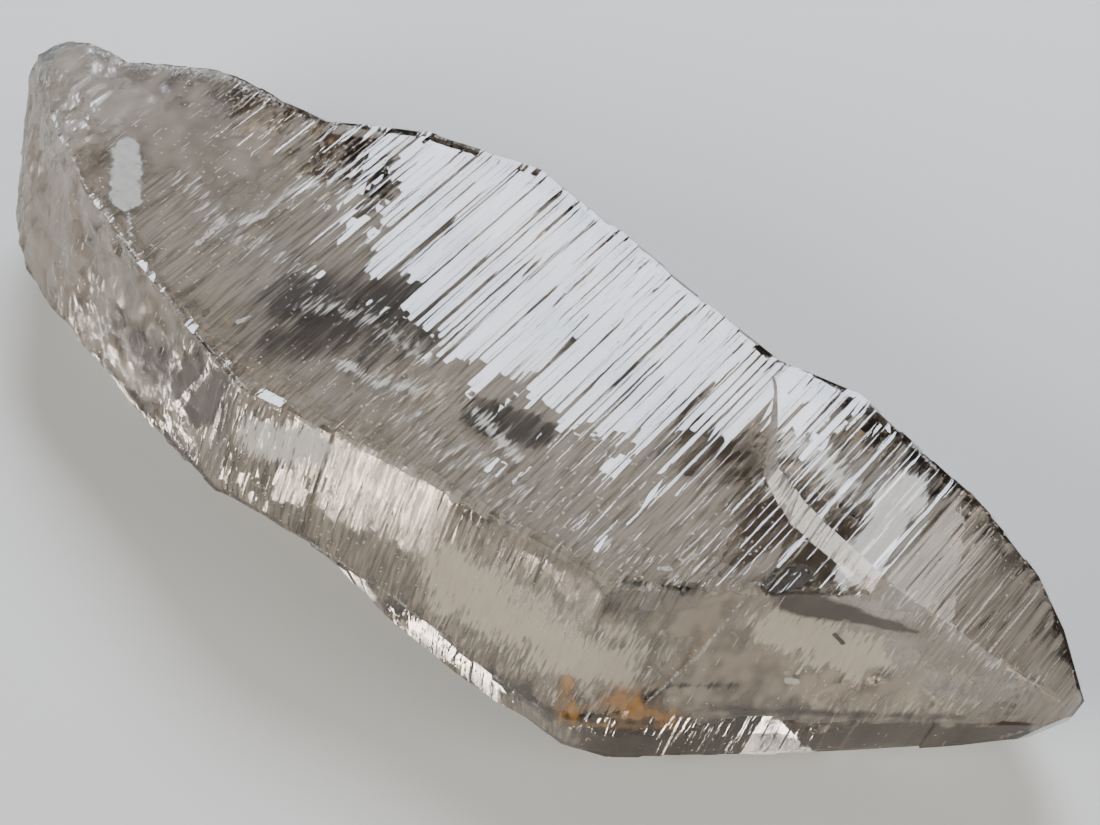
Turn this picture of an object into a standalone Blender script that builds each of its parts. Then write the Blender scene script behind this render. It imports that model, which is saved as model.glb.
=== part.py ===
"""A Lemurian quartz crystal, about 210 mm long, lying on one of its prism faces.

The crystal is one closed loft along its c-axis. Each section is a polygon of eight sides: the six
prism faces and two narrow strips along the widest edges. Towards the tip the prism faces turn over
into rhombohedral faces, and towards the root the sections shrink into a rough broken end. Ladder
ledges step the faces across their length, and a block of parallel growth stands proud beside the
tip. The last corners are chipped off with planes.

Frame: X runs along the c-axis towards the tip, Z is up, and the origin is the bottom centre of the
bounding box. Units are metres; lengths below are written in millimetres and scaled once at the end.
"""

import math
import random

import bmesh
import bpy
from mathutils import Vector, noise

MM = 0.001

# Driving dimensions in mm. x is measured along the c-axis, y across it, both from a point inside the
# widest part, and the whole is centred over the origin at the end.
ROOT_X = -124.0
TIP_X = 88.0
HEIGHT = 49.0
BOX_CENTRE_X = -18.0
BOX_CENTRE_Y = 1.57

# The top prism face and its block of parallel growth.
TOP_TURN_X = 55.3
BLOCK_RISE = 0.5
BLOCK_START_X = 20.0
BLOCK_FULL_X = 27.0
SHELF_DROP = 2.2
SHELF_START_X = 24.0
SHELF_FULL_X = 38.0

# The upper left prism face turns over into the largest rhombohedral face.
LEFT_TURN_X = 25.5
LEFT_TURN_Y = -15.1
RHOMB_FALL = math.tan(math.radians(38.2))

# A shallow wavy field on the big rhombohedral face ends at a curved growth step.
FIELD_DEPTH = 0.8
FIELD_STEP_X = 41.2
FIELD_STEP_BOW = 4.8
FIELD_STEP_WIDTH = 2.0

# Angles of the prism faces in degrees, as the outward normal's turn from +Y towards +Z.
ANGLES = {
    "right_strip": 0.0,
    "upper_right": 30.0,
    "top": 90.0,
    "lower_left": 210.0,
    "base": 270.0,
    "lower_right": 330.0,
}
RHOMB_ANGLE = 150.0

# Segments along each side of a section, in their order round it. The top is divided at the block.
SEGMENTS = {
    "right_strip": 2,
    "upper_right": 4,
    "top": 0,
    "upper_left": 7,
    "left_strip": 2,
    "lower_left": 2,
    "base": 4,
    "lower_right": 3,
}
BLOCK_TOP_SEGMENTS = 4
SHELF_SEGMENTS = 3
LEAST_GAP = 0.3

# The body's edges in plan and in height, as (x, value) corners of broken lines.
TOP_Z = [(ROOT_X, 39), (-116, 44), (-108, 46.5), (-98, 48), (-85, HEIGHT)]
BASE_Z = [(ROOT_X, 25), (-118, 17), (-112, 10), (-104, 4), (-95, 0), (62, 0), (79, 9), (88, 15)]
TOP_RIGHT_Y = [
    (ROOT_X, 1), (-112, 2), (-99, 5.5), (-91, 11.6), (-84, 14), (-75, 15.2), (-67, 17.4),
    (-61.6, 21.5), (-53, 27.3), (-40.5, 32), (-33, 35), (-19, 33.6), (4, 31.9), (18.6, 31.4),
    (24, 32.8), (33.5, 35.4), (42, 34.5), (55, 32.8), (64, 34.7), (71, 35.4), (79, 33.8), (88, 29.6),
]
TOP_LEFT_Y = [
    (ROOT_X, -3), (-116, -6), (-110, -10), (-100, -15.5), (-85, -21), (-70, -24), (-52, -27.6),
    (-38, -29.5), (-28.7, -27), (-15.8, -23.9), (-0.7, -20.4), (LEFT_TURN_X, LEFT_TURN_Y),
    (TIP_X, LEFT_TURN_Y + (TIP_X - LEFT_TURN_X) * RHOMB_FALL / math.sin(math.radians(60))),
]
UPPER_LEFT_ANGLE = [
    (-102, 145), (-94, 147), (-86, 150), (-78, 152), (-62, 154), (LEFT_TURN_X, 154),
    (LEFT_TURN_X + 3.8, RHOMB_ANGLE),
]
WAIST_Z = [
    (ROOT_X, 34), (-112, 28), (-100, 26), (-60, 26), (-35, 28.6), (-19, 27), (3, 24.3), (17, 21.5),
    (LEFT_TURN_X, 20.9),
]
LEFT_FOOT_Y = [
    (ROOT_X, -9), (-118, -16), (-113, -20.5), (-106, -26), (-98, -29.5), (-90, -31.6), (-82, -33.2),
    (-68, -35.8), (-51, -37.2), (-41.7, -35.6), (-30, -34.8), (-21.7, -33.2), (-5, -33.4), (4, -32.6),
    (9.2, -32.1), (17.6, -30.7), (22, -29.2), (28.7, -28.2), (36.2, -24.2), (44.7, -16.6),
    (54.2, -7.6), (62.4, 0.5), (70.5, 8.8), (77.3, 14.2), (82, 19), (88, 24.5),
]
LEFT_FOOT_Z = [
    (ROOT_X, 28), (-112, 22), (-104, 20), (-22, 20), (-5, 18.5), (4, 17), (17.6, 14.5), (28.7, 11),
    (36.2, 10), (70.5, 10), (77.3, 14), (88, 17.5),
]
RIGHT_Y = [
    (ROOT_X, 6.5), (-118, 10.5), (-112, 13.5), (-103, 19.5), (-96, 23), (-86, 25), (-77.6, 27.5),
    (-71, 31.5), (-62, 36), (-50, 40.5), (-40, 42), (56, 42), (71, 40), (79, 37), (84, 34.5), (88, 31),
]
RIGHT_FOOT_Z = [(ROOT_X, 27), (-112, 20), (-104, 17), (-95, 16), (79, 16), (88, 18)]
BLOCK_FOOT_Y = [(20, 29.5), (22.6, 27.7), (30.8, 14.8), (38.9, 11.2), (48.9, 11), (60, 10)]
BLOCK_BROW_Y = [(20, 30), (22.6, 28.4), (32, 16.5), (38.9, 14.2), (50.6, 13.2), (60, 12.4)]


def along(corners, x):
    """Value at x of the broken line through (x, value) corners, held level past its ends."""
    if x <= corners[0][0]:
        return corners[0][1]
    for (x0, v0), (x1, v1) in zip(corners, corners[1:]):
        if x <= x1:
            return v0 + (v1 - v0) * (x - x0) / (x1 - x0)
    return corners[-1][1]


def smooth(edge0, edge1, x):
    """0 before edge0, 1 after edge1 and an even S between them."""
    t = min(max((x - edge0) / (edge1 - edge0), 0.0), 1.0)
    return t * t * (3 - 2 * t)


# Ladder ledges: strips of prism face, joined by risers that lean like rhombohedral faces.
LEDGE_SEED = 11
LEDGE_START_X = -92.0
LEDGE_END_X = 72.0
LEDGE_SHORTEST = 1.5
LEDGE_LONGEST = 5.0
LEDGE_STEP = 0.38
LEDGE_LIMIT = 0.55
RISER_RUN = 0.45
RHOMB_LEDGE_SHARE = 0.35
STRONG_LEDGES = {"top": [(36.0, 0.5), (42.5, -0.5)], "upper_left": [(-22.3, -0.7), (-2.0, 0.5)]}

# Broken surfaces are noise across the section, and fade out between two places along the crystal.
# Each is (share of the depth, where it starts to fade, where it has gone).
ROUGH_SIZE = 9.0
ROUGH_DEPTH = 1.5
ROUGH_ROOT = (1.0, -104.0, -84.0)
ROUGH_TOP = (0.7, -104.0, -84.0)
ROUGH_LEFT = (0.55, -58.0, -40.0)
ROUGH_RIGHT = (0.6, -70.0, -48.0)


def ledge_starts():
    """Where each strip of the ladder starts, irregular but the same on every run."""
    draw = random.Random(LEDGE_SEED)
    starts = [LEDGE_START_X]
    while starts[-1] < LEDGE_END_X:
        starts.append(starts[-1] + draw.uniform(LEDGE_SHORTEST, LEDGE_LONGEST))
    return starts


def ledge_levels(order, count):
    """How proud each strip of one side stands: a wandering height that stays near the face."""
    draw = random.Random(LEDGE_SEED * 1000 + order)
    levels = [0.0]
    for _ in range(count - 2):
        level = levels[-1] + draw.uniform(-LEDGE_STEP, LEDGE_STEP)
        levels.append(min(max(level, -LEDGE_LIMIT), LEDGE_LIMIT))
    return levels + [0.0]


STARTS = ledge_starts()
LADDER_SIDES = (
    "right_strip", "upper_right", "top", "upper_left", "left_strip", "lower_left", "lower_right",
)
LEVELS = {name: ledge_levels(order, len(STARTS)) for order, name in enumerate(LADDER_SIDES)}


def ledge(name, x):
    """Height of a side's ladder at x, with the few strong ledges added."""
    if name not in LADDER_SIDES:
        return 0.0
    height = 0.0
    for start, before, after in zip(STARTS[1:], LEVELS[name], LEVELS[name][1:]):
        if x < start:
            height = before
            break
        if x < start + RISER_RUN:
            height = before + (after - before) * (x - start) / RISER_RUN
            break
    for start, rise in STRONG_LEDGES.get(name, []):
        height += rise * min(max((x - start) / RISER_RUN, 0.0), 1.0)
    return height


def top_face_z(x):
    """Height of the top face over the block: the root droops and the tip falls away."""
    rise = BLOCK_RISE * smooth(BLOCK_START_X, BLOCK_FULL_X, x)
    fall = HEIGHT + BLOCK_RISE - RHOMB_FALL * (x - TOP_TURN_X)
    return min(along(TOP_Z, x) + rise, fall)


def shelf_z(x):
    """Height of the top face below the block's foot."""
    drop = SHELF_DROP * smooth(SHELF_START_X, SHELF_FULL_X, x)
    return min(along(TOP_Z, x) - drop, top_face_z(x))


def offset_through(angle, y, z):
    """Distance from the c-axis line to the side of this angle that passes through (y, z)."""
    turn = math.radians(angle)
    return y * math.cos(turn) + z * math.sin(turn)


def crossing(first, second):
    """Point (y, z) where two sides, each (angle, offset), meet."""
    (a, p), (b, q) = first, second
    a, b = math.radians(a), math.radians(b)
    spread = math.sin(b - a)
    y = (p * math.sin(b) - q * math.sin(a)) / spread
    z = (q * math.cos(a) - p * math.cos(b)) / spread
    return y, z


def upper_left_side(x):
    """The upper left prism face, and past its turn the big rhombohedral face."""
    angle = along(UPPER_LEFT_ANGLE, x)
    return angle, offset_through(angle, along(TOP_LEFT_Y, x), along(TOP_Z, x))


def side_through(start, end):
    """The side that runs from start to end, going round counter-clockwise."""
    angle = math.degrees(math.atan2(start[0] - end[0], end[1] - start[1]))
    return angle, offset_through(angle, *start)


def sides(x):
    """The eight sides at x by name, counter-clockwise seen from the tip, each (angle, offset)."""
    waist = crossing(upper_left_side(x), (ANGLES["base"], -along(WAIST_Z, x)))
    left_foot = along(LEFT_FOOT_Y, x), along(LEFT_FOOT_Z, x)
    right_foot = along(RIGHT_Y, x), along(RIGHT_FOOT_Z, x)
    through = {
        "right_strip": right_foot,
        "upper_right": (along(TOP_RIGHT_Y, x), top_face_z(x)),
        "top": (0.0, top_face_z(x)),
        "lower_left": left_foot,
        "base": (0.0, along(BASE_Z, x)),
        "lower_right": right_foot,
    }
    plain = {
        name: (ANGLES[name], offset_through(ANGLES[name], y, z)) for name, (y, z) in through.items()
    }
    plain["upper_left"] = upper_left_side(x)
    plain["left_strip"] = side_through(waist, left_foot)
    stepped = {}
    for name in SEGMENTS:
        angle, offset = plain[name]
        on_rhomb = (name == "top" and x > TOP_TURN_X) or (name == "upper_left" and x > LEFT_TURN_X)
        stepped[name] = (angle, offset + ledge(name, x) * (RHOMB_LEDGE_SHARE if on_rhomb else 1.0))
    return stepped


def between(start, end, count):
    """The first count points of the straight run from start to end, without its end."""
    return [
        tuple(a + (b - a) * k / count for a, b in zip(start, end)) for k in range(count)
    ]


def top_outline(x, around):
    """The top of a section from right to left: top face, the block's brow and foot, and shelf."""
    high = around["top"][1]
    low = high - top_face_z(x) + shelf_z(x)
    left_side = around["upper_left"]
    right_y, right_z = crossing(around["upper_right"], (ANGLES["top"], high))
    left_y, left_z = crossing(left_side, (ANGLES["top"], low))
    if x < BLOCK_START_X:
        foot, brow = left_y + 0.4 * (right_y - left_y), left_y + 0.6 * (right_y - left_y)
    else:
        foot, brow = along(BLOCK_FOOT_Y, x), along(BLOCK_BROW_Y, x)
    if left_y > foot and high > low + LEAST_GAP:
        left_y, left_z = crossing(side_through((brow, high), (foot, low)), left_side)
    if left_y > brow:
        left_y, left_z = crossing(left_side, (ANGLES["top"], high))
    brow_y = max(brow, left_y + 2 * LEAST_GAP)
    foot_y = max(foot, left_y + LEAST_GAP)
    foot_z = low if foot > left_y else left_z
    outline = between((right_y, right_z), (brow_y, high), BLOCK_TOP_SEGMENTS)
    outline.append((brow_y, high))
    outline += between((foot_y, foot_z), (left_y, left_z), SHELF_SEGMENTS)
    return outline, (left_y, left_z)


def section(x):
    """Points (y, z) of the section at x, each with the name of its side, counter-clockwise."""
    around = sides(x)
    names = list(SEGMENTS)
    top_points, top_left = top_outline(x, around)
    starts = {
        name: crossing(around[before], around[name])
        for before, name in zip([names[-1]] + names, names)
    }
    starts["top"], starts["upper_left"] = top_points[0], top_left
    points = []
    for name, after in zip(names, names[1:] + names[:1]):
        run = between(starts[name], starts[after], SEGMENTS[name]) if SEGMENTS[name] else top_points
        points += [(name, point) for point in run]
    return points


def field_depth(x, share):
    """How far the wavy field lies under the big rhombohedral face, share down from its top edge."""
    if x <= LEFT_TURN_X:
        return 0.0
    step_x = FIELD_STEP_X - FIELD_STEP_BOW * share**2
    inside = smooth(LEFT_TURN_X, LEFT_TURN_X + 2.0, x)
    return FIELD_DEPTH * inside * (1 - smooth(step_x - FIELD_STEP_WIDTH, step_x, x))


def roughness(name, x):
    """Share of the broken-surface noise: all of it at the root, less along the side faces."""
    if name == "base":
        return 0.0
    zones = {
        "top": [ROUGH_TOP],
        "upper_left": [ROUGH_ROOT, ROUGH_LEFT],
        "left_strip": [ROUGH_ROOT, ROUGH_LEFT],
        "upper_right": [ROUGH_ROOT, ROUGH_RIGHT],
        "right_strip": [ROUGH_ROOT, ROUGH_RIGHT],
    }
    return max(share * (1 - smooth(x0, x1, x)) for share, x0, x1 in zones.get(name, [ROUGH_ROOT]))


def ring(x):
    """The section at x with its field and its broken surfaces, as points in space."""
    points = section(x)
    middle_y = sum(y for _, (y, _) in points) / len(points)
    middle_z = sum(z for _, (_, z) in points) / len(points)
    turn = math.radians(RHOMB_ANGLE)
    first = [name for name, _ in points].index("upper_left")
    placed = []
    for i, (name, (y, z)) in enumerate(points):
        if first <= i <= first + SEGMENTS["upper_left"]:
            depth = field_depth(x, (i - first) / SEGMENTS["upper_left"])
            y, z = y - depth * math.cos(turn), z - depth * math.sin(turn)
        share = roughness(name, x)
        if share > 0:
            place = Vector((x, y, z)) / ROUGH_SIZE
            lump = noise.noise(place) + 0.5 * noise.noise(place * 2.3)
            reach = math.hypot(y - middle_y, z - middle_z)
            push = 1 + share * ROUGH_DEPTH * lump / max(reach, ROUGH_SIZE)
            y, z = middle_y + (y - middle_y) * push, max(middle_z + (z - middle_z) * push, 0.0)
        placed.append(Vector((x, y, z)))
    return placed


# Rings stand at every corner of the shape along x, and never closer than this.
ROOT_RINGS = [ROOT_X, -120.0, -116.0, -112.0, -108.0, -104.0, -100.0, -96.0]
TURN_RINGS = [LEFT_TURN_X, LEFT_TURN_X + 1.0, LEFT_TURN_X + 2.0, LEFT_TURN_X + 3.8, TOP_TURN_X, 57.0]
TIP_RINGS = [58.4, 79.0, 84.0, TIP_X]
BLOCK_RINGS = [BLOCK_START_X, 22.6]
FIELD_RINGS = [FIELD_STEP_X - k * FIELD_STEP_WIDTH / 2 for k in range(6)]
LEAST_RING_GAP = 0.2


def ring_places():
    """Where the rings stand: both ends of every riser, the turns, the field's edge and the root."""
    places = set(ROOT_RINGS + TURN_RINGS + TIP_RINGS + BLOCK_RINGS + FIELD_RINGS)
    risers = STARTS[1:] + [x for steps in STRONG_LEDGES.values() for x, _ in steps]
    for start in risers:
        places |= {start, start + RISER_RUN}
    kept = []
    for x in sorted(places):
        if not kept or x - kept[-1] > LEAST_RING_GAP:
            kept.append(x)
    return kept


def loft(mesh, rings):
    """Skins the rings with quads and closes both ends."""
    rows = [[mesh.verts.new(p) for p in points] for points in rings]
    count = len(rows[0])
    for row, after in zip(rows, rows[1:]):
        for i in range(count):
            j = (i + 1) % count
            mesh.faces.new((row[i], row[j], after[j], after[i]))
    mesh.faces.new(reversed(rows[0]))
    mesh.faces.new(rows[-1])


# Chipped corners, each a point (x, y, z) on the break and the break's outward direction.
CHIPS = {
    "tip_front": ((86.3, 25.0, 18.0), (0.80, -0.45, -0.10)),
    "tip_top": ((86.0, 28.5, 25.0), (0.85, -0.10, 0.52)),
    "tip_under": ((86.5, 28.0, 16.0), (0.70, 0.10, -0.70)),
    "root_end": ((-123.6, 0.0, 34.0), (-1.0, 0.15, 0.25)),
    "root_left": ((-116.5, -19.0, 30.0), (-0.75, -0.62, 0.20)),
    "root_right": ((-113.0, 12.0, 33.0), (-0.45, 0.80, 0.35)),
    "root_under": ((-112.0, 0.0, 9.0), (-0.62, 0.0, -0.78)),
}


LEAST_EDGE = 0.005


def chip(mesh, point, direction):
    """Cuts off what lies past a plane and closes the cut."""
    whole = mesh.verts[:] + mesh.edges[:] + mesh.faces[:]
    cut = bmesh.ops.bisect_plane(
        mesh, geom=whole, plane_co=Vector(point), plane_no=Vector(direction), clear_outer=True
    )
    rim = [g for g in cut["geom_cut"] if isinstance(g, bmesh.types.BMEdge)]
    bmesh.ops.contextual_create(mesh, geom=rim)


def quartz_material():
    """Smoky quartz: clear, faintly brown, polished by growth."""
    made = bpy.data.materials.new("smoky_quartz")
    made.use_nodes = True
    shader = made.node_tree.nodes["Principled BSDF"]
    shader.inputs["Base Color"].default_value = (0.78, 0.70, 0.60, 1.0)
    shader.inputs["Roughness"].default_value = 0.06
    shader.inputs["IOR"].default_value = 1.544
    shader.inputs["Transmission Weight"].default_value = 1.0
    return made


def build_crystal(collection):
    """Lofts the crystal, chips its corners and sets it on the origin."""
    mesh = bmesh.new()
    loft(mesh, [ring(x) for x in ring_places()])
    for point, direction in CHIPS.values():
        chip(mesh, point, direction)
    bmesh.ops.remove_doubles(mesh, verts=mesh.verts, dist=LEAST_EDGE)
    bmesh.ops.dissolve_degenerate(mesh, edges=mesh.edges, dist=LEAST_EDGE)
    bmesh.ops.recalc_face_normals(mesh, faces=mesh.faces)
    bmesh.ops.translate(mesh, verts=mesh.verts, vec=(-BOX_CENTRE_X, -BOX_CENTRE_Y, 0.0))
    bmesh.ops.scale(mesh, verts=mesh.verts, vec=(MM, MM, MM))
    data = bpy.data.meshes.new("quartz_crystal")
    mesh.to_mesh(data)
    mesh.free()
    data.materials.append(quartz_material())
    crystal = bpy.data.objects.new("quartz_crystal", data)
    collection.objects.link(crystal)
    return crystal


def main():
    for old in list(bpy.data.objects):
        bpy.data.objects.remove(old, do_unlink=True)
    collection = bpy.data.collections.new("lemurian_quartz_crystal")
    bpy.context.scene.collection.children.link(collection)
    build_crystal(collection)


main()
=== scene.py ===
# %% [markdown]
# # A Lemurian quartz crystal
# The crystal is one piece of smoky quartz, about 210 mm long: a flat six-sided prism that grew along
# its c-axis, ends in slanted rhombohedral faces at one end, and was broken off its matrix at the
# other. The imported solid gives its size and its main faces. This script puts a finer skin in its
# place, with the ladder of growth ledges and the fine striations as real relief, and fills it with
# the veils and wisps that make natural quartz look like quartz and not like glass.

# %% Load the frame
import bisect
import math
import random

import bmesh
import bpy
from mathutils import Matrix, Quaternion, Vector, noise
from mathutils.bvhtree import BVHTree


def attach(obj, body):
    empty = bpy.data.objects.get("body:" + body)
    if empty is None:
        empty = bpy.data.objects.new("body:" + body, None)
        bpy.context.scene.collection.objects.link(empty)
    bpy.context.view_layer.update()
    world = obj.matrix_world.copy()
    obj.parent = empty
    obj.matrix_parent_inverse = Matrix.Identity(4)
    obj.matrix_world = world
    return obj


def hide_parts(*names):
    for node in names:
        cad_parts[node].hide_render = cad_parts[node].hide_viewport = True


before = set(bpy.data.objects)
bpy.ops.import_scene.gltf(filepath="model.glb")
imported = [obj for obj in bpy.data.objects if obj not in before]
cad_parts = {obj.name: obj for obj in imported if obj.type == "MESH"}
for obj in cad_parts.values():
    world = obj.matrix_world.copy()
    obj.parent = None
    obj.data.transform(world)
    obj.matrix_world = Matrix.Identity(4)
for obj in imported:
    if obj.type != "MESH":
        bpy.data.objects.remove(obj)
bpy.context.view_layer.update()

# %% [markdown]
# ## Helpers
# Colours are written as sRGB hex values, the way a colour picker shows them, and a shader works in
# linear light, so one function turns one into the other. A second one adds a shader node with its
# settings and links, and a third a mix of two colours, because nothing in a natural stone has a
# single even colour. The last starts a material with an empty node tree.

# %% Helpers
MM = 0.001


def linear(hex_colour):
    """An sRGB hex colour such as #a3988a as linear red, green, blue, and an alpha of 1."""
    channels = [int(hex_colour[i : i + 2], 16) / 255 for i in (1, 3, 5)]
    return (*[c / 12.92 if c <= 0.04045 else ((c + 0.055) / 1.055) ** 2.4 for c in channels], 1.0)


def add_node(tree, kind, values=(), links=(), **settings):
    """Adds a node, sets its input values and its settings, and links (output, input name) pairs."""
    made = tree.nodes.new(kind)
    for name, value in settings.items():
        setattr(made, name, value)
    for name, value in values:
        made.inputs[name].default_value = value
    for output, name in links:
        tree.links.new(output, made.inputs[name])
    return made


def two_tones(tree, factor, colours):
    """A blend of two hex colours that follows an output, such as that of a noise."""
    values = [(name, linear(colour)) for name, colour in zip("AB", colours)]
    mix = add_node(tree, "ShaderNodeMix", values, [(factor, "Factor")], data_type="RGBA")
    return mix.outputs["Result"]


def new_material(name):
    """An empty node material, and its tree."""
    made = bpy.data.materials.new(name)
    made.use_nodes = True
    made.node_tree.nodes.clear()
    return made, made.node_tree


print("mid grey #808080 is", round(linear("#808080")[0], 3), "in linear light")

# %% [markdown]
# ## The crystal's own geometry
# Quartz obeys strict angles: its six prism faces stand 60 degrees apart round the c-axis, and the
# rhombohedral faces of the tip lean 38.2 degrees from it. So a section across the c-axis is always a
# polygon with the same side directions, and only the sides' distances change along the crystal. Each
# side is an angle and an offset, and each corner is where two neighbours cross. The values are the
# solid's own, in millimetres along X (towards the tip), Y (across) and Z (up).

# %% The edges of the body
ROOT_X, TIP_X = -124.0, 88.0
HEIGHT = 49.0
BOX_CENTRE_X, BOX_CENTRE_Y = -18.0, 1.57
TOP_TURN_X = 55.3
LEFT_TURN_X, LEFT_TURN_Y = 25.5, -15.1
PRISM_STEP = 60.0
RHOMB_FALL = math.tan(math.radians(38.2))
RHOMB_ANGLE = 150.0
ANGLES = {
    "right_strip": 0.0, "upper_right": 30.0, "top": 90.0, "lower_left": 210.0, "base": 270.0,
    "lower_right": 330.0,
}
TOP_Z = [(ROOT_X, 39), (-116, 44), (-108, 46.5), (-98, 48), (-85, HEIGHT)]
BASE_Z = [(ROOT_X, 25), (-118, 17), (-112, 10), (-104, 4), (-95, 0), (62, 0), (79, 9), (88, 15)]
TOP_RIGHT_Y = [
    (ROOT_X, 1), (-112, 2), (-99, 5.5), (-91, 11.6), (-84, 14), (-75, 15.2), (-67, 17.4),
    (-61.6, 21.5), (-53, 27.3), (-40.5, 32), (-33, 35), (-19, 33.6), (4, 31.9), (18.6, 31.4),
    (24, 32.8), (33.5, 35.4), (42, 34.5), (55, 32.8), (64, 34.7), (71, 35.4), (79, 33.8), (88, 29.6),
]
TOP_LEFT_Y = [
    (ROOT_X, -3), (-116, -6), (-110, -10), (-100, -15.5), (-85, -21), (-70, -24), (-52, -27.6),
    (-38, -29.5), (-28.7, -27), (-15.8, -23.9), (-0.7, -20.4), (LEFT_TURN_X, LEFT_TURN_Y),
    (TIP_X, LEFT_TURN_Y + (TIP_X - LEFT_TURN_X) * RHOMB_FALL / math.sin(math.radians(PRISM_STEP))),
]
UPPER_LEFT_ANGLE = [
    (-102, 145), (-94, 147), (-86, 150), (-78, 152), (-62, 154), (LEFT_TURN_X, 154),
    (LEFT_TURN_X + 3.8, RHOMB_ANGLE),
]
WAIST_Z = [
    (ROOT_X, 34), (-112, 28), (-100, 26), (-60, 26), (-35, 28.6), (-19, 27), (3, 24.3), (17, 21.5),
    (LEFT_TURN_X, 20.9),
]
LEFT_FOOT_Y = [
    (ROOT_X, -9), (-118, -16), (-113, -20.5), (-106, -26), (-98, -29.5), (-90, -31.6), (-82, -33.2),
    (-68, -35.8), (-51, -37.2), (-41.7, -35.6), (-30, -34.8), (-21.7, -33.2), (-5, -33.4), (4, -32.6),
    (9.2, -32.1), (17.6, -30.7), (22, -29.2), (28.7, -28.2), (36.2, -24.2), (44.7, -16.6),
    (54.2, -7.6), (62.4, 0.5), (70.5, 8.8), (77.3, 14.2), (82, 19), (88, 24.5),
]
LEFT_FOOT_Z = [
    (ROOT_X, 28), (-112, 22), (-104, 20), (-22, 20), (-5, 18.5), (4, 17), (17.6, 14.5), (28.7, 11),
    (36.2, 10), (70.5, 10), (77.3, 14), (88, 17.5),
]
RIGHT_Y = [
    (ROOT_X, 6.5), (-118, 10.5), (-112, 13.5), (-103, 19.5), (-96, 23), (-86, 25), (-77.6, 27.5),
    (-71, 31.5), (-62, 36), (-50, 40.5), (-40, 42), (56, 42), (71, 40), (79, 37), (84, 34.5), (88, 31),
]
RIGHT_FOOT_Z = [(ROOT_X, 27), (-112, 20), (-104, 17), (-95, 16), (79, 16), (88, 18)]


def along(corners, x):
    """Value at x of the broken line through (x, value) corners, held level past its ends."""
    if x <= corners[0][0]:
        return corners[0][1]
    for (x0, v0), (x1, v1) in zip(corners, corners[1:]):
        if x <= x1:
            return v0 + (v1 - v0) * (x - x0) / (x1 - x0)
    return corners[-1][1]


def smooth(edge0, edge1, x):
    """0 before edge0, 1 after edge1 and an even S between them."""
    t = min(max((x - edge0) / (edge1 - edge0), 0.0), 1.0)
    return t * t * (3 - 2 * t)


print("length along the c-axis:", TIP_X - ROOT_X, "mm")

# %% [markdown]
# ## The ladder
# Lemurian quartz is known by its ladder: while it grew, prism face and rhombohedral face took turns,
# so the prism faces climb in low ledges that run straight across them. A ledge is a strip at a new
# height and a riser that leans like a rhombohedral face. Seeded random lengths and heights, kept
# close to the face, give the uneven rungs of the real thing and come out the same every time.

# %% Ledges
LEDGE_SEED, SEEDS_APART = 11, 1000
LEDGE_START_X, LEDGE_END_X = -92.0, 72.0
LEDGE_SHORTEST, LEDGE_LONGEST = 1.5, 5.0
LEDGE_STEP, LEDGE_LIMIT = 0.38, 0.55
RISER_RUN = 0.3
RHOMB_LEDGE_SHARE = 0.3
EDGE_LEDGE_SHARE = {"top": 0.45, "upper_left": 0.3}
TURN_BLEND = 3.0
STRONG_LEDGES = {"top": [(36.0, 0.5), (42.5, -0.5)], "upper_left": [(-22.3, -0.7), (-2.0, 0.5)]}
LADDER_SIDES = (
    "right_strip", "upper_right", "top", "upper_left", "left_strip", "lower_left", "lower_right",
)


def ledge_starts():
    """Where each strip of the ladder starts, irregular but the same on every run."""
    draw = random.Random(LEDGE_SEED)
    starts = [LEDGE_START_X]
    while starts[-1] < LEDGE_END_X:
        starts.append(starts[-1] + draw.uniform(LEDGE_SHORTEST, LEDGE_LONGEST))
    return starts


def ledge_levels(order, count):
    """How proud each strip of one side stands: a wandering height that stays near the face."""
    draw = random.Random(LEDGE_SEED * SEEDS_APART + order)
    levels = [0.0]
    for _ in range(count - 2):
        level = levels[-1] + draw.uniform(-LEDGE_STEP, LEDGE_STEP)
        levels.append(min(max(level, -LEDGE_LIMIT), LEDGE_LIMIT))
    return levels + [0.0]


STARTS = ledge_starts()
LEVELS = {name: ledge_levels(order, len(STARTS)) for order, name in enumerate(LADDER_SIDES)}


def ledge(name, x):
    """Height of a side's ladder at x."""
    if name not in LADDER_SIDES:
        return 0.0
    for start, before, after in zip(STARTS[1:], LEVELS[name], LEVELS[name][1:]):
        if x < start:
            return before
        if x < start + RISER_RUN:
            return before + (after - before) * (x - start) / RISER_RUN
    return 0.0


def strong_ledges(name, x):
    """Height of the few strong ledges that a side has besides its ladder."""
    steps = STRONG_LEDGES.get(name, [])
    return sum(rise * min(max((x - start) / RISER_RUN, 0.0), 1.0) for start, rise in steps)


def rhomb_share(name, x, share):
    """1 on the prism faces, and the given share on the smoother rhombohedral faces of the tip."""
    turn_x = {"top": TOP_TURN_X, "upper_left": LEFT_TURN_X}.get(name, TIP_X + TURN_BLEND)
    return 1 - (1 - share) * smooth(turn_x - TURN_BLEND, turn_x + TURN_BLEND, x)


print(len(STARTS), "ledges on each prism face")

# %% [markdown]
# ## Sections
# A section is worked out side by side and then walked round counter-clockwise. The top side is the
# only one that isn't straight: near the tip a block of parallel growth stands proud of it, with a
# brow along its upper edge and a foot where it meets the lower shelf. Each side but the base is set
# in by a fraction of a millimetre, so that the fine relief laid over it stays within the solid's own
# box.

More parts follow.
